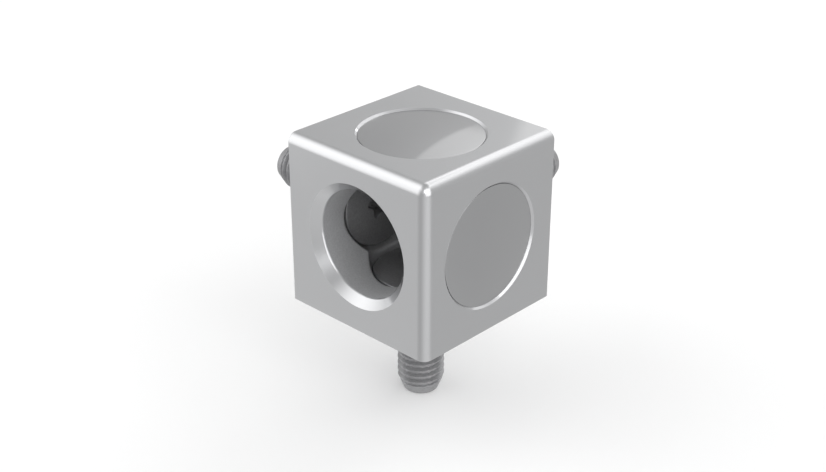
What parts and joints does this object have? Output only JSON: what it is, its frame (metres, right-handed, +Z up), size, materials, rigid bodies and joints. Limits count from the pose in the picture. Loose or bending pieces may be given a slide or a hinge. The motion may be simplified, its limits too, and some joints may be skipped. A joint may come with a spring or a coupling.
{
  "type": "three way corner connector",
  "caption": "Cast cube that joins square slotted profiles at a corner, with wide crossing bores, push-in cover discs and thread-forming screws.",
  "frame": {"origin": "centre of the face that the upright profile meets, on the bottom screw's axis", "axes": "+Z up, away from the upright profile; the left profile leaves along -X and the right profile along +Y; the open bore faces -Y"},
  "size_m": [0.0714, 0.071, 0.0714],
  "materials": {
    "cast_aluminium": "satin lacquered casting",
    "cap_plastic": "satin",
    "screw_steel": "dark zinc"
  },
  "bodies": {
    "root": {"corner_cube": "cast_aluminium", "top_cap": "cap_plastic", "right_cap": "cap_plastic", "left_screw": "screw_steel", "right_screw": "screw_steel", "bottom_screw": "screw_steel"}
  },
  "joints": []
}
